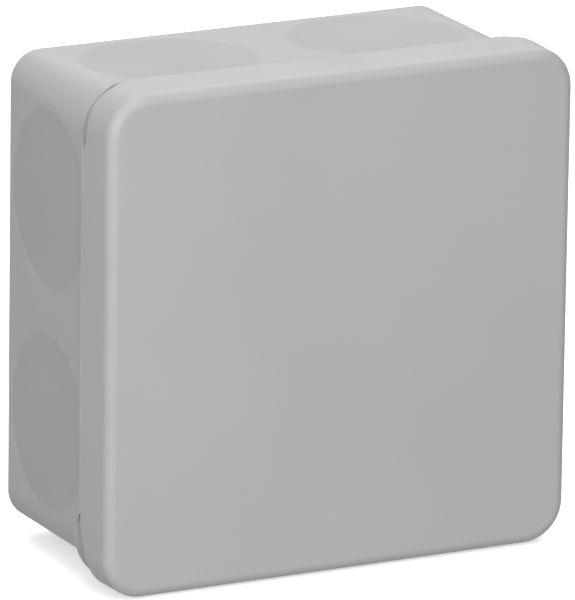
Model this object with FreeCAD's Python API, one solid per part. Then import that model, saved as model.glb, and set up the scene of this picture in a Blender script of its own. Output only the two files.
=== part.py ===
import FreeCAD, Part
import math
import os

# Square surface junction box with a push-on lid and a five-pole terminal block.
# Millimetres. The wall is the plane Y = 0 and the box grows towards -Y from it, so a "depth"
# below is a distance from the wall. +Z is up. The origin is the middle of the wall face.

# ---- driving dimensions -------------------------------------------------------------------
LID_HALF = 50.0            # half of the 100 mm lid
BOX_DEPTH = 50.0           # wall to the lid's front face
SEAM_DEPTH = 38.7          # front of the base's ledge, where the lid's skirt lands
SEAM_GAP = 0.05            # what is left between skirt and ledge
JOIN = 0.2                 # how far fused pieces reach into each other
PAST = 1.0                 # how far a cutting tool reaches past what it cuts
FLOOR = 2.5                # base floor
CAVITY_HALF_BACK = 45.0    # inner half width at the floor: the wall is 2.1 to 2.3 mm thick
CAVITY_HALF_FRONT = 45.8   # and at the collar, which is 1.8 mm thick
CAVITY_RADIUS_BACK = 5.0
CAVITY_RADIUS_FRONT = 7.2
BASE_HALF_BACK = 47.1      # outer half width of the base at the wall
BASE_HALF_FRONT = 48.1     # and where it meets the ledge
BASE_RADIUS_BACK = 6.0
BASE_RADIUS_FRONT = 9.6
BACK_ROUND = 1.0           # rounding of the base's rear edge

LEDGE_HALF = 49.9
LEDGE_RADIUS = 10.4
LEDGE_THICK = 0.6
LEDGE_FLARE = 2.2          # depth over which the wall flares out to the ledge
LEDGE_ROUND = 0.3

COLLAR_HALF = 47.6         # upstand that the lid's skirt slides over
COLLAR_TOP = 45.0
COLLAR_RADIUS = 8.2
COLLAR_ROUND = 0.4
CORNER_FROM = 40.0         # corner tools start this far from the axis
CORNER_RUN = 40.0          # and are this long
BEAD_PROUD = 0.22          # snap bead on the collar
BEAD_RADIUS = 0.6
BEAD_LENGTH = 46.0
BEAD_DEPTH = 42.6

LID_RADIUS = 8.4
LID_DRAFT = 0.3            # how much narrower the lid is at its front
LID_ROUND = 2.2            # front edge rounding
LID_PLATE = 2.2
SKIRT_THICK = 2.0
LID_BACK_ROUND = 0.3
LENS_HALF_CHORD = 8.6      # prising notch across each lid corner
LENS_DEEP = 2.5
NOTCH_INTO = 0.9           # how far the notches and slots go in from the outside
NOTCH_ASIDE = 1.4          # and how far their middle is off the corner, towards the side wall
SLOT_UPPER = (7.2, 4.4, 0.8)    # prising slots in the ledge's corners: half length at the
SLOT_LOWER = (9.4, 7.5, 1.8)    # top, half length at the bottom, how deep
SET_BACK_HALF = 5.0        # half length of the set-back flare where it leaves the wall

SEAL_OUT = 47.95           # gasket, in a channel behind the lid plate
SEAL_IN = 45.15
SEAL_RADIUS = 8.6
SEAL_GAP = 0.1             # to the top of the collar
RIB_OUT = 45.1             # inner wall of that channel
RIB_IN = 43.7
RIB_DEEP = 5.2
RIB_RADIUS = 6.0
STIFFENER = 1.2            # ribs across the lid's inside
STIFFENER_PITCH = 26.0

ENTRY_PITCH = 44.6         # between the two thinned cable entries of a wall
ENTRY_DEPTH = 19.6
ENTRY_RADIUS = 18.2
ENTRY_SUNK = 0.2
ENTRY_OVER = 3.0           # clears the ledge's flare above each thinned area
ENTRY_RIM = 1.2            # width of the slope round each thinned area
SCORE_RADII = (10.1, 12.6, 15.8)   # break-out rings for 20, 25 and 32 mm glands
SCORE_WIDE = 0.8
SCORE_DEEP = 0.9

FIX_PITCH = 74.0           # wall fixing holes, on a square
FIX_RADIUS = 2.25
CUP_OUT = 5.4              # cup that shields each wall screw's head
CUP_IN = 4.3
CUP_TOP = 6.0
BACK_PANEL = 0.6           # hollow of the rear face inside its bearing rim
BACK_RIM = 4.0

POLES = 5
POLE_PITCH = 10.0
BLOCK_BACK = 6.0
BLOCK_FRONT = 25.0
BLOCK_HALF_Z = 12.0
BLOCK_MARGIN = 1.0
BLOCK_ROUND = 0.6
GROOVE_HALF = 0.4          # grooves that part the poles
GROOVE_FRONT = 1.2
GROOVE_END = 0.6
LUG_X = 30.0
LUG_HALF_Z = 4.5
LUG_THICK = 3.0
POST_RADIUS = 4.0
PILOT_RADIUS = 1.5
LUG_HOLE = 1.6
PILOT_FLOOR = 1.2

CLAMP_Z = 6.6              # each pole has a clamp this far above and below its middle
CAGE_X = 6.4
CAGE_Z = 5.2
CAGE_BACK = 7.6            # cage at rest, wide open
CAGE_PLATE_BACK = 1.0
CAGE_SPACE = 5.8
CAGE_PLATE_FRONT = 1.8
CAGE_SIDE = 0.8
CAGE_ROUND = 0.4
TEETH_PITCH = 1.5          # grip grooves across the cage's floor
TEETH_DEEP = 0.25
CHAMBER_BACK = 7.2
CHAMBER_FRONT = 20.8
CHAMBER_CLEAR = 0.25
BAR_WIDE = 4.2
BAR_THICK = 1.2
BAR_BACK = 13.0
BAR_HALF_Z = 10.0
BAR_CLEAR = 0.12
BAR_ROUND = 0.2

THREAD_RADIUS = 1.5
THREAD_HOLE = 1.58
THREAD_PITCH = 0.5
THREAD_DEEP = 0.18
TIP_CHAMFER = 0.4
SCREW_TIP = 14.3
HEAD_RADIUS = 2.5
HEAD_BACK = 22.0
HEAD_THICK = 2.1
WELL_RADIUS = 2.75
LIP_RADIUS = 2.3
LIP_DEPTH = 24.5
SLOT_WIDE = 0.8
SLOT_DEEP = 1.1
CROSS_HALF = 1.5           # half length of the slot's cross
HEAD_CHAMFER = 0.3
FUNNEL_RADIUS = 2.9
WIRE_RADIUS = 1.9
WIRE_DEPTH = 10.8

LUG_SCREW_RADIUS = 1.45
LUG_SCREW_HEAD = 2.8
LUG_SCREW_TIP = 1.6
LUG_HEAD_THICK = 1.9

CORNERS = ((-1, -1), (1, -1), (1, 1), (-1, 1))
UP = FreeCAD.Vector(0, 0, 1)
SAME = 1e-4                # two lengths closer than this are the same


# ---- small helpers ------------------------------------------------------------------------
def point(x, depth, z):
    return FreeCAD.Vector(x, -depth, z)


def rounded_square(half, radius, depth):
    """Closed outline in the plane at this depth."""
    flat = half - radius
    arcs = []
    for quarter in range(4):
        start_angle = quarter * math.pi / 2
        angles = [start_angle + step * math.pi / 4 for step in range(3)]
        cx = flat * math.sqrt(2) * math.cos(angles[1])
        cz = flat * math.sqrt(2) * math.sin(angles[1])
        arcs.append([point(cx + radius * math.cos(a), depth, cz + radius * math.sin(a)) for a in angles])
    edges = []
    for arc, following in zip(arcs, arcs[1:] + arcs[:1]):
        edges.append(Part.Arc(arc[0], arc[1], arc[2]).toShape())
        edges.append(Part.LineSegment(arc[2], following[0]).toShape())
    return Part.Wire(edges)


def tapered(half_a, radius_a, depth_a, half_b, radius_b, depth_b):
    """Solid between two rounded squares at two depths."""
    wires = [rounded_square(half_a, radius_a, depth_a), rounded_square(half_b, radius_b, depth_b)]
    return Part.makeLoft(wires, True, True)


def prism(half, radius, depth_a, depth_b):
    face = Part.Face(rounded_square(half, radius, depth_a))
    return face.extrude(FreeCAD.Vector(0, depth_a - depth_b, 0))


def box(x_range, depth_range, z_range):
    size = [abs(b - a) for a, b in (x_range, depth_range, z_range)]
    corner = FreeCAD.Vector(min(x_range), -max(depth_range), min(z_range))
    return Part.makeBox(size[0], size[1], size[2], corner)


def post(x, z, radius, depth_a, depth_b):
    """Cylinder along the box's depth."""
    return Part.makeCylinder(radius, depth_b - depth_a, point(x, depth_a, z), FreeCAD.Vector(0, -1, 0))


def cut_all(solid, tools):
    return solid.cut(Part.makeCompound(tools))


def around(solid, quarter):
    """A copy turned by quarters about the box's own axis."""
    copy = solid.copy()
    copy.rotate(FreeCAD.Vector(0, 0, 0), FreeCAD.Vector(0, 1, 0), 90 * quarter)
    return copy


def edges_at_depth(solid, depth):
    """Edges that lie in the plane at this depth."""
    found = []
    for edge in solid.Edges:
        bounds = edge.BoundBox
        if abs(bounds.YMin + depth) < SAME and abs(bounds.YMax + depth) < SAME:
            found.append(edge)
    return found


def edges_along_z(solid, length):
    return [edge for edge in solid.Edges if abs(edge.BoundBox.ZLength - length) < SAME]


def export(name, shape):
    if not shape.isValid():
        print("not valid:", name)
    shape.exportStep(os.path.join("parts", name + ".step"))
    print(name, len(shape.Solids), "solid(s)", round(shape.Volume, 1), "mm3")


# ---- base shell ---------------------------------------------------------------------------
def base_body():
    flare_start = SEAM_DEPTH - LEDGE_THICK - LEDGE_FLARE
    body = tapered(BASE_HALF_BACK, BASE_RADIUS_BACK, 0, BASE_HALF_FRONT, BASE_RADIUS_FRONT, flare_start)
    return body.makeFillet(BACK_ROUND, edges_at_depth(body, 0))


def ledge_ring(sunk, inset, front):
    """The flare and its plate, set back by sunk. The flare starts this inset inside the wall."""
    flare_start = SEAM_DEPTH - LEDGE_THICK - LEDGE_FLARE - sunk
    back = SEAM_DEPTH - LEDGE_THICK - sunk
    start_half = BASE_HALF_FRONT - inset
    flare = tapered(start_half, BASE_RADIUS_FRONT, flare_start, LEDGE_HALF, LEDGE_RADIUS, back)
    return flare.fuse(prism(LEDGE_HALF, LEDGE_RADIUS, back, front))


def corner_axes(sx, sz):
    """Outward from the box's axis over a corner, and across that corner to the side wall."""
    return FreeCAD.Vector(sx, 0, sz).normalize(), FreeCAD.Vector(sx, 0, -sz).normalize()


def across_corner(sx, sz, outline):
    """Solid over one corner. The outline is a list of (distance across the corner, depth)."""
    outward, across = corner_axes(sx, sz)
    corners = [point(0, depth, 0) + across * (along + NOTCH_ASIDE) + outward * CORNER_FROM
               for along, depth in outline]
    face = Part.Face(Part.makePolygon(corners + corners[:1]))
    return face.extrude(outward * CORNER_RUN)


def ledge():
    """The flare is set back at the lower corners, where the prising slots are deepest."""
    ring = ledge_ring(0, 0, SEAM_DEPTH)
    ring = ring.makeFillet(LEDGE_ROUND, edges_at_depth(ring, SEAM_DEPTH))
    core_half, core_radius = LEDGE_HALF - NOTCH_INTO, LEDGE_RADIUS - NOTCH_INTO
    core = prism(core_half, core_radius, SEAM_DEPTH - 2 * LEDGE_FLARE, SEAM_DEPTH + PAST)
    for sx, sz in CORNERS:
        top, bottom, deep = SLOT_LOWER if sz < 0 else SLOT_UPPER
        floor = SEAM_DEPTH - deep
        if sz < 0:
            back = SEAM_DEPTH - 2 * LEDGE_FLARE - deep
            span = [(-SET_BACK_HALF, back), (SET_BACK_HALF, back), (top, SEAM_DEPTH), (-top, SEAM_DEPTH)]
            set_back = ledge_ring(deep, 2 * JOIN, floor + JOIN)
            ring = ring.fuse(set_back.common(across_corner(sx, sz, span)))
        rise = (top - bottom) * PAST / deep
        past = SEAM_DEPTH + PAST
        slot = [(-bottom, floor), (bottom, floor), (top + rise, past), (-top - rise, past)]
        ring = ring.cut(across_corner(sx, sz, slot).cut(core))
    return ring


def collar():
    upstand = prism(COLLAR_HALF, COLLAR_RADIUS, SEAM_DEPTH - JOIN, COLLAR_TOP)
    upstand = upstand.makeFillet(COLLAR_ROUND, edges_at_depth(upstand, COLLAR_TOP))
    middle = point(-BEAD_LENGTH / 2, BEAD_DEPTH, COLLAR_HALF - BEAD_RADIUS + BEAD_PROUD)
    bead = Part.makeCylinder(BEAD_RADIUS, BEAD_LENGTH, middle, FreeCAD.Vector(1, 0, 0))
    for quarter in range(4):
        upstand = upstand.fuse(around(bead, quarter))
    return upstand


def base_cavity():
    front = COLLAR_TOP + PAST
    return tapered(CAVITY_HALF_BACK, CAVITY_RADIUS_BACK, FLOOR, CAVITY_HALF_FRONT, CAVITY_RADIUS_FRONT, front)


def leaned(tool, lean):
    """Lean a tool on the upper wall to follow that wall's draft."""
    tool.rotate(point(0, ENTRY_DEPTH, 0), FreeCAD.Vector(1, 0, 0), lean)
    return tool


def entry_recess(x):
    """Shallow dish, from outside, that thins the upper wall to a cable entry."""
    draft = BASE_HALF_FRONT - BASE_HALF_BACK
    run = SEAM_DEPTH - LEDGE_THICK - LEDGE_FLARE
    surface = BASE_HALF_BACK + draft * ENTRY_DEPTH / run
    start = point(x, ENTRY_DEPTH, surface - ENTRY_SUNK)
    slope = Part.makeCone(ENTRY_RADIUS - ENTRY_RIM, ENTRY_RADIUS, ENTRY_SUNK, start, UP)
    tool = slope.fuse(Part.makeCylinder(ENTRY_RADIUS, ENTRY_OVER, start + UP * ENTRY_SUNK, UP))
    return leaned(tool, -math.degrees(math.atan(draft / run)))


def score_rings(x):
    """Break-out rings, cut into the upper wall from inside."""
    draft = CAVITY_HALF_FRONT - CAVITY_HALF_BACK
    run = COLLAR_TOP + PAST - FLOOR
    surface = CAVITY_HALF_BACK + draft * (ENTRY_DEPTH - FLOOR) / run
    start = point(x, ENTRY_DEPTH, surface - PAST)
    rings = []
    for radius in SCORE_RADII:
        outer = Part.makeCylinder(radius + SCORE_WIDE / 2, PAST + SCORE_DEEP, start, UP)
        inner = Part.makeCylinder(radius - SCORE_WIDE / 2, PAST + SCORE_DEEP, start, UP)
        rings.append(leaned(outer.cut(inner), -math.degrees(math.atan(draft / run))))
    return rings


def entry_tools():
    tools = []
    for quarter in range(4):
        for side in (-1, 1):
            x = side * ENTRY_PITCH / 2
            for tool in [entry_recess(x)] + score_rings(x):
                tools.append(around(tool, quarter))
    return tools


def on_fixings(radius, depth_a, depth_b):
    half = FIX_PITCH / 2
    return [post(sx * half, sz * half, radius, depth_a, depth_b) for sx, sz in CORNERS]


def floor_bosses():
    """Screw cups at the wall fixings and the two posts under the terminal block."""
    cups = Part.makeCompound(on_fixings(CUP_OUT, FLOOR - JOIN, CUP_TOP))
    cups = cut_all(cups, on_fixings(CUP_IN, FLOOR - PAST, CUP_TOP + PAST))
    posts = [post(side * LUG_X, 0, POST_RADIUS, FLOOR - JOIN, BLOCK_BACK) for side in (-1, 1)]
    return cups.Solids + posts


def floor_holes():
    holes = on_fixings(FIX_RADIUS, -PAST, FLOOR + PAST)
    return holes + [post(side * LUG_X, 0, PILOT_RADIUS, PILOT_FLOOR, BLOCK_BACK + PAST) for side in (-1, 1)]


def back_hollow():
    """Shallow hollow of the rear face. Round lands stay standing about the wall fixings."""
    hollow = prism(BASE_HALF_BACK - BACK_RIM, BASE_RADIUS_BACK - 1, -PAST, BACK_PANEL)
    return cut_all(hollow, on_fixings(CUP_OUT, -2 * PAST, BACK_PANEL + PAST))


def base_shell():
    shell = base_body().fuse(ledge()).fuse(collar()).cut(base_cavity())
    for boss in floor_bosses():
        shell = shell.fuse(boss)
    shell = cut_all(shell, entry_tools())
    shell = cut_all(shell, floor_holes())
    return shell.cut(back_hollow()).removeSplitter()


# ---- lid and gasket -----------------------------------------------------------------------
def prising_notches(lid_back):
    """Lens-shaped notches in the outside of the skirt's edge at the four corners."""
    radius = (LENS_HALF_CHORD ** 2 + LENS_DEEP ** 2) / (2 * LENS_DEEP)
    axis_depth = lid_back + LENS_DEEP - radius
    core = prism(LID_HALF - NOTCH_INTO, LID_RADIUS - NOTCH_INTO, lid_back - PAST, BOX_DEPTH)
    tools = []
    for sx, sz in CORNERS:
        outward, across = corner_axes(sx, sz)
        start = point(0, axis_depth, 0) + outward * CORNER_FROM + across * NOTCH_ASIDE
        tools.append(Part.makeCylinder(radius, CORNER_RUN, start, outward).cut(core))
    return tools


def lid():
    back = SEAM_DEPTH + SEAM_GAP
    plate_back = BOX_DEPTH - LID_PLATE
    shell = tapered(LID_HALF, LID_RADIUS, back, LID_HALF - LID_DRAFT, LID_RADIUS - LID_DRAFT, BOX_DEPTH)
    shell = shell.makeFillet(LID_ROUND, edges_at_depth(shell, BOX_DEPTH))
    shell = shell.makeFillet(LID_BACK_ROUND, edges_at_depth(shell, back))
    shell = shell.cut(prism(LID_HALF - SKIRT_THICK, SEAL_RADIUS, back - PAST, plate_back))
    rib_back = plate_back - RIB_DEEP
    rib = prism(RIB_OUT, RIB_RADIUS, rib_back, plate_back + JOIN)
    hollow = prism(RIB_IN, RIB_RADIUS - RIB_OUT + RIB_IN, rib_back - PAST, plate_back + PAST)
    shell = shell.fuse(rib.cut(hollow))
    for offset in (-STIFFENER_PITCH, 0, STIFFENER_PITCH):
        span = (-RIB_IN - JOIN, RIB_IN + JOIN)
        across = (offset - STIFFENER / 2, offset + STIFFENER / 2)
        deep = (plate_back - STIFFENER, plate_back + JOIN)
        shell = shell.fuse(box(span, deep, across)).fuse(box(across, deep, span))
    return cut_all(shell, prising_notches(back)).removeSplitter()


def lid_gasket():
    bottom, top = COLLAR_TOP + SEAL_GAP, BOX_DEPTH - LID_PLATE
    ring = prism(SEAL_OUT, SEAL_RADIUS, bottom, top)
    return ring.cut(prism(SEAL_IN, RIB_RADIUS, bottom - PAST, top + PAST))


# ---- terminal block -----------------------------------------------------------------------
def pole_places():
    return [POLE_PITCH * (index - (POLES - 1) / 2) for index in range(POLES)]


def clamp_cavities(x, side):
    """Everything that one clamp needs cut out of the block: chamber, screw well, wire funnel."""
    z = side * CLAMP_Z
    half_x = CAGE_X / 2 + CHAMBER_CLEAR
    half_z = CAGE_Z / 2 + CHAMBER_CLEAR
    chamber = box((x - half_x, x + half_x), (CHAMBER_BACK, CHAMBER_FRONT), (z - half_z, z + half_z))
    shank = post(x, z, THREAD_HOLE, CHAMBER_FRONT - PAST, HEAD_BACK + PAST)
    well = post(x, z, WELL_RADIUS, HEAD_BACK, LIP_DEPTH)
    lip = post(x, z, LIP_RADIUS, LIP_DEPTH - JOIN, BLOCK_FRONT + PAST)
    out = FreeCAD.Vector(0, 0, side)
    wire_start = point(x, WIRE_DEPTH, side * (CLAMP_Z + half_z - PAST))
    wire = Part.makeCylinder(WIRE_RADIUS, BLOCK_HALF_Z, wire_start, out)
    flare = FUNNEL_RADIUS - WIRE_RADIUS
    start = point(x, WIRE_DEPTH, side * (BLOCK_HALF_Z - flare))
    funnel = Part.makeCone(WIRE_RADIUS, FUNNEL_RADIUS, flare, start, out)
    return [chamber, shank, well, lip, wire, funnel]


def terminal_housing():
    half_x = POLES * POLE_PITCH / 2 + BLOCK_MARGIN
    block = box((-half_x, half_x), (BLOCK_BACK, BLOCK_FRONT), (-BLOCK_HALF_Z, BLOCK_HALF_Z))
    block = block.makeFillet(BLOCK_ROUND, edges_at_depth(block, BLOCK_FRONT))
    lug_end = LUG_X + LUG_HALF_Z
    lugs = box((-lug_end, lug_end), (BLOCK_BACK, BLOCK_BACK + LUG_THICK), (-LUG_HALF_Z, LUG_HALF_Z))
    block = block.fuse(lugs)
    tools = [post(side * LUG_X, 0, LUG_HOLE, 0, BLOCK_BACK + LUG_THICK + PAST) for side in (-1, 1)]
    bar_x = BAR_WIDE / 2 + BAR_CLEAR
    bar_z = BAR_HALF_Z + BAR_CLEAR
    bar_deep = (BAR_BACK, BAR_BACK + BAR_THICK + BAR_CLEAR)
    for x in pole_places():
        tools.append(box((x - bar_x, x + bar_x), bar_deep, (-bar_z, bar_z)))
        for side in (-1, 1):
            tools += clamp_cavities(x, side)
    block = cut_all(block, tools)
    grooves = []
    for x in pole_places()[1:]:
        edge = x - POLE_PITCH / 2
        wide = (edge - GROOVE_HALF, edge + GROOVE_HALF)
        whole = (-BLOCK_HALF_Z - PAST, BLOCK_HALF_Z + PAST)
        grooves.append(box(wide, (BLOCK_FRONT - GROOVE_FRONT, BLOCK_FRONT + PAST), whole))
        for side in (-1, 1):
            end = (side * (BLOCK_HALF_Z - GROOVE_END), side * (BLOCK_HALF_Z + PAST))
            grooves.append(box(wide, (BLOCK_BACK + LUG_THICK, BLOCK_FRONT), end))
    return cut_all(block, grooves).removeSplitter()


def current_bar(x):
    half = BAR_WIDE / 2
    bar = box((x - half, x + half), (BAR_BACK, BAR_BACK + BAR_THICK), (-BAR_HALF_Z, BAR_HALF_Z))
    return bar.makeFillet(BAR_ROUND, edges_along_z(bar, 2 * BAR_HALF_Z))


def clamp_cage(x, side):
    z = side * CLAMP_Z
    half_x, half_z = CAGE_X / 2, CAGE_Z / 2
    space_back = CAGE_BACK + CAGE_PLATE_BACK
    space_front = space_back + CAGE_SPACE
    cage_front = space_front + CAGE_PLATE_FRONT
    cage = box((x - half_x, x + half_x), (CAGE_BACK, cage_front), (z - half_z, z + half_z))
    cage = cage.makeFillet(CAGE_ROUND, edges_along_z(cage, CAGE_Z))
    inner = (x - half_x + CAGE_SIDE, x + half_x - CAGE_SIDE)
    window = box(inner, (space_back, space_front), (z - half_z - PAST, z + half_z + PAST))
    tools = [window, post(x, z, THREAD_HOLE, space_front - PAST, cage_front + PAST)]
    for offset in (-TEETH_PITCH, 0, TEETH_PITCH):
        groove = (z + offset - TEETH_DEEP, z + offset + TEETH_DEEP)
        tools.append(box(inner, (space_back - TEETH_DEEP, space_back), groove))
    return cut_all(cage, tools)


def slotted_head(x, z, radius, back, thick):
    """Head with a slot right across and a shorter one that crosses it."""
    top = back + thick
    head = post(x, z, radius, back, top)
    head = head.makeChamfer(HEAD_CHAMFER, edges_at_depth(head, top))
    half = SLOT_WIDE / 2
    deep = (top - SLOT_DEEP, top + PAST)
    long_slot = box((x - radius - PAST, x + radius + PAST), deep, (z - half, z + half))
    short_slot = box((x - half, x + half), deep, (z - CROSS_HALF, z + CROSS_HALF))
    return cut_all(head, [long_slot, short_slot])


def threaded_shank(x, z, radius, tip, back):
    """Plain shank with shallow rings for its thread."""
    shank = post(x, z, radius, tip, back)
    shank = shank.makeChamfer(TIP_CHAMFER, edges_at_depth(shank, tip))
    core = post(x, z, radius - THREAD_DEEP, tip, back)
    rings = []
    for number in range(int((back - tip - 2 * PAST) / THREAD_PITCH)):
        depth = tip + PAST + number * THREAD_PITCH
        rings.append(post(x, z, radius + PAST, depth, depth + THREAD_PITCH / 2).cut(core))
    return cut_all(shank, rings)


def clamp_screw(x, side):
    z = side * CLAMP_Z
    shank = threaded_shank(x, z, THREAD_RADIUS, SCREW_TIP, HEAD_BACK)
    return slotted_head(x, z, HEAD_RADIUS, HEAD_BACK, HEAD_THICK).fuse(shank)


def lug_screws():
    screws = []
    for side in (-1, 1):
        head_back = BLOCK_BACK + LUG_THICK
        head = slotted_head(side * LUG_X, 0, LUG_SCREW_HEAD, head_back, LUG_HEAD_THICK)
        shank = threaded_shank(side * LUG_X, 0, LUG_SCREW_RADIUS, LUG_SCREW_TIP, head_back)
        screws.append(head.fuse(shank))
    return Part.makeCompound(screws)


def main():
    os.makedirs("parts", exist_ok=True)
    export("base_shell", base_shell())
    export("lid", lid())
    export("lid_gasket", lid_gasket())
    export("terminal_housing", terminal_housing())
    export("housing_fixing_screws", lug_screws())
    for number, x in enumerate(pole_places(), 1):
        export("current_bar_%d" % number, current_bar(x))
        for side, name in ((1, "upper"), (-1, "lower")):
            export("clamp_cage_%s_%d" % (name, number), clamp_cage(x, side))
            export("clamp_screw_%s_%d" % (name, number), clamp_screw(x, side))


main()
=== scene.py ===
import math

import bmesh
import bpy
from mathutils import Matrix, Vector


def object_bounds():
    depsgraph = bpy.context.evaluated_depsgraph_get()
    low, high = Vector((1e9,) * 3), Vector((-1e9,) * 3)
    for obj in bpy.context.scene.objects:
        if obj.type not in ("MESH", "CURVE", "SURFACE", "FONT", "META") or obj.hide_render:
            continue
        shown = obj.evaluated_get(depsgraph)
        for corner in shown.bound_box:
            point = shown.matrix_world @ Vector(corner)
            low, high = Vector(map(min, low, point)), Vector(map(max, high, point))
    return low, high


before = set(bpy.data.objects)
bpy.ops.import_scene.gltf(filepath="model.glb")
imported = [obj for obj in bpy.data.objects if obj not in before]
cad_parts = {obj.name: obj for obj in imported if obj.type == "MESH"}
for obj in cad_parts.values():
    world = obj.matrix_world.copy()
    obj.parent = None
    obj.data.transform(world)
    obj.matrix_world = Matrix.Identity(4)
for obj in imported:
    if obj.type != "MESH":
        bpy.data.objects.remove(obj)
cad_low, cad_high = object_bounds()

# A square surface junction box, shown closed. Lengths are in metres. The wall that it is
# fixed to is the plane Y = 0, the lid faces -Y and +Z is up.

MM = 0.001
BOX_MIDDLE = (cad_low + cad_high) / 2

# ---- camera -------------------------------------------------------------------------------
VIEW_AZIMUTH = math.radians(-27.171)     # 0 looks along +Y
VIEW_ELEVATION = math.radians(16.079)
VIEW_ROLL = math.radians(0.829)
VIEW_DISTANCE = 1869.4 * MM
VIEW_LENS = 578.9                        # mm, on Blender's 36 mm sensor
VIEW_ASIDE = 0.917 * MM                  # how far the aim is off the box's middle, to the right
VIEW_BELOW = 1.738 * MM                  # and down
VIEW_FAR_CLIP = 100                      # past the far edge of the floor


def make_camera():
    """A long lens from the lid's left, a little above it."""
    back = Vector((math.sin(VIEW_AZIMUTH) * math.cos(VIEW_ELEVATION),
                   -math.cos(VIEW_AZIMUTH) * math.cos(VIEW_ELEVATION),
                   math.sin(VIEW_ELEVATION)))
    level = Vector((math.cos(VIEW_AZIMUTH), math.sin(VIEW_AZIMUTH), 0))
    upright = back.cross(level)
    right = math.cos(VIEW_ROLL) * level + math.sin(VIEW_ROLL) * upright
    up = math.cos(VIEW_ROLL) * upright - math.sin(VIEW_ROLL) * level
    aim = BOX_MIDDLE + VIEW_ASIDE * right - VIEW_BELOW * up
    place = aim + back * VIEW_DISTANCE
    data = bpy.data.cameras.new("camera")
    data.lens = VIEW_LENS
    data.clip_end = VIEW_FAR_CLIP
    camera = bpy.data.objects.new("camera", data)
    camera.matrix_world = Matrix.Translation(place) @ Matrix((right, up, back)).transposed().to_4x4()
    bpy.context.scene.collection.objects.link(camera)
    bpy.context.scene.camera = camera


# ---- light and floor ----------------------------------------------------------------------
SKY_STRENGTH = 0.55
FLOOR_REACH = 20                         # from the middle of the floor to its edge
FLOOR_CELLS = 8
FLOOR_GAP = 0.1 * MM                     # below the box


def direction(azimuth, elevation):
    """Unit vector towards a light. Azimuth 0 is in front of the lid, -90 at its left."""
    a, e = math.radians(azimuth), math.radians(elevation)
    return Vector((math.sin(a) * math.cos(e), -math.cos(a) * math.cos(e), math.sin(e)))


def add_light(name, kind, azimuth, elevation, strength, size, distance=1.0):
    """A sun's size is its angle in degrees, an area light's its side in metres."""
    data = bpy.data.lights.new(name, kind)
    data.energy = strength
    if kind == "SUN":
        data.angle = math.radians(size)
    else:
        data.shape = "SQUARE"
        data.size = size
    towards = direction(azimuth, elevation)
    light = bpy.data.objects.new(name, data)
    light.rotation_euler = towards.to_track_quat("Z", "Y").to_euler()
    light.location = towards * distance
    bpy.context.scene.collection.objects.link(light)


def make_lights():
    """Soft light from all round, a wide sun in front, one behind, and two cards near the box."""
    add_light("front", "SUN", azimuth=-10, elevation=20, strength=1.58, size=60)
    add_light("rear", "SUN", azimuth=150, elevation=45, strength=1.38, size=50)
    add_light("left_card", "AREA", azimuth=-48, elevation=12, strength=1.33, size=0.25, distance=0.55)
    add_light("top_card", "AREA", azimuth=-30, elevation=75, strength=1.0, size=0.3, distance=0.55)
    world = bpy.data.worlds.new("studio")
    world.use_nodes = True
    sky = world.node_tree.nodes["Background"]
    sky.inputs["Color"].default_value = (1.0, 1.0, 1.0, 1)
    sky.inputs["Strength"].default_value = SKY_STRENGTH
    bpy.context.scene.world = world
    bpy.context.scene.view_settings.view_transform = "Standard"


def make_floor(material):
    """Plain paper under the box, which it neither lights nor mirrors in."""
    mesh = bpy.data.meshes.new("floor")
    builder = bmesh.new()
    bmesh.ops.create_grid(builder, x_segments=FLOOR_CELLS, y_segments=FLOOR_CELLS, size=FLOOR_REACH)
    builder.to_mesh(mesh)
    builder.free()
    mesh.materials.append(material)
    floor = bpy.data.objects.new("floor", mesh)
    floor.visible_diffuse = False
    floor.visible_glossy = False
    floor.location.z = cad_low.z - FLOOR_GAP
    bpy.context.scene.collection.objects.link(floor)


# ---- materials ----------------------------------------------------------------------------
GREY = (0.965, 1.0, 0.99)                # tint of the enclosure's grey
ENTRY_ALONG = 22.3 * MM                  # from a wall's middle to the centre of a cable entry
ENTRY_DEPTH = 19.6 * MM                  # from the rear face to that centre
ENTRY_RADIUS = 18.2 * MM
ENTRY_RIM = 1.4 * MM                     # over which the colour changes
WALLS_FROM = 44 * MM                     # the walls lie further out than this
MIX_FIRST, MIX_SECOND, MIX_RESULT = 6, 7, 2     # the colour sockets of a Mix node


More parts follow.
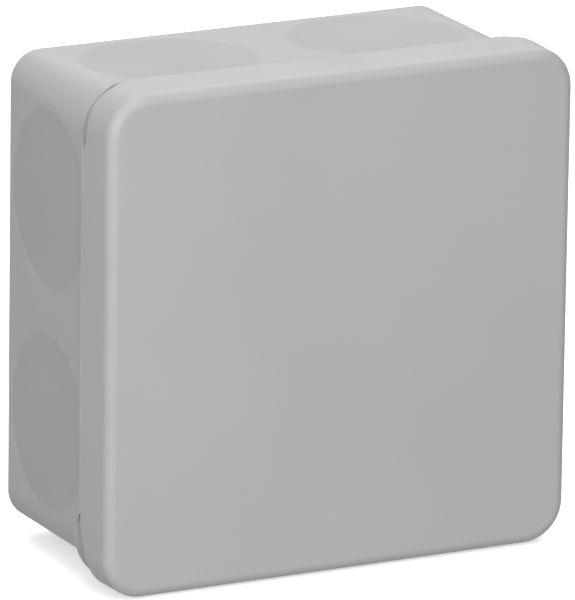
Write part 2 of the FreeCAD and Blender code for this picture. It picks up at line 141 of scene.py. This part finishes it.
class Nodes:
    """Short calls for one material's node tree."""

    def __init__(self, name):
        self.material = bpy.data.materials.new(name)
        self.material.use_nodes = True
        self.tree = self.material.node_tree
        self.shader = self.tree.nodes["Principled BSDF"]

    def add(self, kind, **settings):
        """A new node."""
        node = self.tree.nodes.new(kind)
        for key, value in settings.items():
            setattr(node, key, value)
        return node

    def feed(self, socket, value):
        """Links a socket to another one, or sets it to a constant."""
        if isinstance(value, bpy.types.NodeSocket):
            self.tree.links.new(value, socket)
        else:
            socket.default_value = value

    def place(self):
        """Where a point lies in the box's own frame."""
        return self.add("ShaderNodeTexCoord").outputs["Object"]

    def axes(self):
        split = self.add("ShaderNodeSeparateXYZ")
        self.feed(split.inputs[0], self.place())
        return split.outputs

    def math(self, operation, a, b=0.0):
        node = self.add("ShaderNodeMath", operation=operation)
        self.feed(node.inputs[0], a)
        self.feed(node.inputs[1], b)
        return node.outputs[0]

    def noise(self, scale, detail=2.0, roughness=0.5):
        node = self.add("ShaderNodeTexNoise")
        self.feed(node.inputs["Vector"], self.place())
        node.inputs["Scale"].default_value = scale
        node.inputs["Detail"].default_value = detail
        node.inputs["Roughness"].default_value = roughness
        return node.outputs["Fac"]

    def spread(self, value, low, high, to_low, to_high):
        node = self.add("ShaderNodeMapRange", interpolation_type="SMOOTHSTEP")
        for socket, amount in zip(node.inputs, (value, low, high, to_low, to_high)):
            self.feed(socket, amount)
        return node.outputs[0]

    def blend(self, share, a, b):
        node = self.add("ShaderNodeMix", data_type="RGBA")
        self.feed(node.inputs["Factor"], share)
        self.feed(node.inputs[MIX_FIRST], a)
        self.feed(node.inputs[MIX_SECOND], b)
        return node.outputs[MIX_RESULT]

    def bump(self, height, distance, strength):
        node = self.add("ShaderNodeBump")
        self.feed(node.inputs["Height"], height)
        node.inputs["Distance"].default_value = distance
        node.inputs["Strength"].default_value = strength
        return node.outputs[0]

    def finish(self, **sockets):
        """Feeds the shader and returns the material."""
        names = {"colour": "Base Color", "roughness": "Roughness", "normal": "Normal",
                 "metallic": "Metallic", "specular": "Specular IOR Level",
                 "glow": "Emission Color", "glow_strength": "Emission Strength"}
        for key, value in sockets.items():
            self.feed(self.shader.inputs[names[key]], value)
        return self.material


def shade(level, tint=(1.0, 1.0, 1.0)):
    """A grey, or a tinted one, as a colour with its alpha."""
    return (level * tint[0], level * tint[1], level * tint[2], 1)


def thin_walls(n):
    """1 inside the round areas where the walls are thinned for the cable entries."""
    x, y, z = n.axes()
    side, up = n.math("ABSOLUTE", x), n.math("ABSOLUTE", z)
    along = n.math("SUBTRACT", n.math("MINIMUM", side, up), ENTRY_ALONG)
    deep = n.math("ADD", y, ENTRY_DEPTH)
    square = n.math("ADD", n.math("MULTIPLY", along, along), n.math("MULTIPLY", deep, deep))
    inside = n.spread(n.math("SQRT", square), ENTRY_RADIUS - ENTRY_RIM, ENTRY_RADIUS, 1.0, 0.0)
    on_wall = n.math("GREATER_THAN", n.math("MAXIMUM", side, up), WALLS_FROM)
    return n.math("MULTIPLY", inside, on_wall)


def enclosure_plastic():
    """Fine-grained matt grey, a little darker where the wall is thinned."""
    n = Nodes("enclosure_plastic")
    cloud = n.spread(n.noise(22, 3), 0.3, 0.7, 0.0, 1.0)
    full = n.blend(cloud, shade(0.324, GREY), shade(0.336, GREY))
    thin = n.blend(cloud, shade(0.298, GREY), shade(0.308, GREY))
    grain = n.noise(2600, 2)
    roughness = n.spread(n.noise(60, 4), 0.3, 0.7, 0.50, 0.58)
    normal = n.bump(grain, 0.02 * MM, 0.35)
    return n.finish(colour=n.blend(thin_walls(n), full, thin), roughness=roughness, normal=normal)


def gasket_rubber():
    """Matt black."""
    n = Nodes("gasket_rubber")
    cloud = n.spread(n.noise(90, 3), 0.3, 0.7, 0.0, 1.0)
    colour = n.blend(cloud, shade(0.030), shade(0.042))
    roughness = n.spread(n.noise(300, 3), 0.3, 0.7, 0.62, 0.8)
    return n.finish(colour=colour, roughness=roughness, normal=n.bump(n.noise(3000), 0.02 * MM, 0.5))


def terminal_polyamide():
    """Off-white, with a slight gloss."""
    n = Nodes("terminal_polyamide")
    cloud = n.spread(n.noise(120, 3), 0.3, 0.7, 0.0, 1.0)
    colour = n.blend(cloud, shade(0.70, (1.0, 0.985, 0.93)), shade(0.74, (1.0, 0.985, 0.935)))
    roughness = n.spread(n.noise(400, 3), 0.3, 0.7, 0.38, 0.5)
    return n.finish(colour=colour, roughness=roughness, normal=n.bump(n.noise(3500), 0.01 * MM, 0.4))


def brass():
    """Drawn bar with patches of tarnish."""
    n = Nodes("brass")
    tarnish = n.spread(n.noise(350, 4), 0.35, 0.7, 0.0, 1.0)
    colour = n.blend(tarnish, (0.83, 0.62, 0.28, 1), (0.68, 0.47, 0.20, 1))
    roughness = n.spread(n.noise(900, 3), 0.3, 0.7, 0.25, 0.4)
    return n.finish(colour=colour, roughness=roughness, metallic=1.0,
                    normal=n.bump(n.noise(2500), 0.01 * MM, 0.4))


def zinc_steel():
    """Bright plating with duller patches."""
    n = Nodes("zinc_steel")
    bloom = n.spread(n.noise(500, 4), 0.3, 0.7, 0.0, 1.0)
    colour = n.blend(bloom, (0.66, 0.67, 0.69, 1), (0.54, 0.555, 0.585, 1))
    roughness = n.spread(n.noise(1100, 3), 0.3, 0.7, 0.28, 0.42)
    return n.finish(colour=colour, roughness=roughness, metallic=1.0,
                    normal=n.bump(n.noise(4000), 0.006 * MM, 0.4))


def floor_paper():
    """White, with a weak glow of its own that hides most of the box's shadow."""
    n = Nodes("floor_paper")
    cloud = n.spread(n.noise(3, 3), 0.3, 0.7, 0.0, 1.0)
    return n.finish(colour=n.blend(cloud, shade(0.98), shade(1.0)), roughness=0.9, specular=0.1,
                    glow=shade(1.0), glow_strength=0.3)


# ---- finish of the CAD nodes --------------------------------------------------------------
SHARP = math.radians(28)                 # edges that turn by more than this stay crisp
WELD = 0.001 * MM
LARGE_FACES_LEAD = 100                   # the normals lean fully to the larger faces


def smoothing():
    """Node group that joins a CAD node's facets and shades them smooth between sharp edges."""
    group = bpy.data.node_groups.new("smooth_between_edges", "GeometryNodeTree")
    group.interface.new_socket("Geometry", in_out="INPUT", socket_type="NodeSocketGeometry")
    group.interface.new_socket("Geometry", in_out="OUTPUT", socket_type="NodeSocketGeometry")
    nodes, link = group.nodes, group.links.new
    start, end = nodes.new("NodeGroupInput"), nodes.new("NodeGroupOutput")
    weld = nodes.new("GeometryNodeMergeByDistance")
    weld.inputs["Distance"].default_value = WELD
    faces = nodes.new("GeometryNodeSetShadeSmooth")
    edges = nodes.new("GeometryNodeSetShadeSmooth")
    edges.domain = "EDGE"
    edges.inputs["Shade Smooth"].default_value = False
    angle = nodes.new("GeometryNodeInputMeshEdgeAngle")
    sharp = nodes.new("FunctionNodeCompare")
    sharp.inputs["B"].default_value = SHARP
    link(angle.outputs["Unsigned Angle"], sharp.inputs["A"])
    link(sharp.outputs["Result"], edges.inputs["Selection"])
    link(start.outputs[0], weld.inputs["Geometry"])
    link(weld.outputs[0], faces.inputs["Geometry"])
    link(faces.outputs[0], edges.inputs["Geometry"])
    link(edges.outputs[0], end.inputs[0])
    return group


def dress(node, material, group):
    """Gives a CAD node its material and smooth shading."""
    node.data.materials.clear()
    node.data.materials.append(material)
    smooth = node.modifiers.new("smooth", "NODES")
    smooth.node_group = group
    even = node.modifiers.new("even_normals", "WEIGHTED_NORMAL")
    even.keep_sharp = True
    even.weight = LARGE_FACES_LEAD


def dress_all():
    """Screws and cages are zinc-plated, and every other piece is named."""
    plastic = enclosure_plastic()
    metal = zinc_steel()
    bars = brass()
    group = smoothing()
    fixed = {"base_shell": plastic, "lid": plastic, "lid_gasket": gasket_rubber(),
             "terminal_housing": terminal_polyamide(), "housing_fixing_screws": metal}
    for name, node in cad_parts.items():
        if name in fixed:
            material = fixed[name]
        elif name.startswith("current_bar"):
            material = bars
        else:
            material = metal
        dress(node, material, group)


make_camera()
make_lights()
make_floor(floor_paper())
dress_all()
